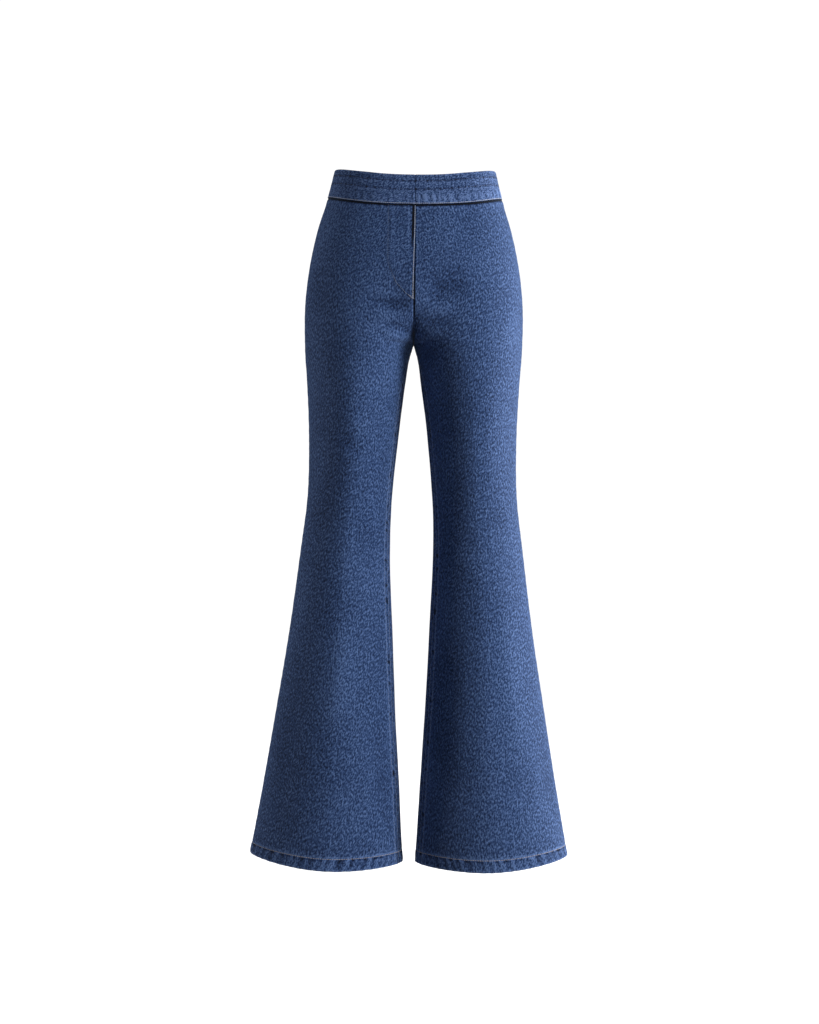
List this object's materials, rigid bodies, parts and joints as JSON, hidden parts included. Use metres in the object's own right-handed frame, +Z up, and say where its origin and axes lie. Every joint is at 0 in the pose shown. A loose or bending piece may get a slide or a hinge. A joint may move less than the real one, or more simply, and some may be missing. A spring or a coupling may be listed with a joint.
{
  "type": "flared jeans, worn form, empty",
  "caption": "High-waisted flared denim jeans with a plain waistband and a mock fly, hollow and filled out as if worn, open at the waist and at both hems.",
  "frame": {"origin": "on the centre line between the left and right halves, level with the side seam planes front to back, at the height of the natural waist, half way up the waistband at the sides", "axes": "+Z up from the hems to the waist, +X towards the wearer's left leg, -Y the way the wearer faces"},
  "size_m": [0.4914, 0.2272, 1.079],
  "materials": {
    "denim": "mid-blue cotton denim, right-hand twill, matt with a faint sheen, paler on the inside",
    "band_denim": "the same mid-blue denim, doubled, with the weave across the band"
  },
  "bodies": {
    "root": {"front_left": "denim", "front_right": "denim", "back_left": "denim", "back_right": "denim", "fly": "denim", "hem_left": "denim", "hem_right": "denim", "waistband_front_left": "band_denim", "waistband_front_right": "band_denim", "waistband_back": "band_denim"}
  },
  "joints": []
}
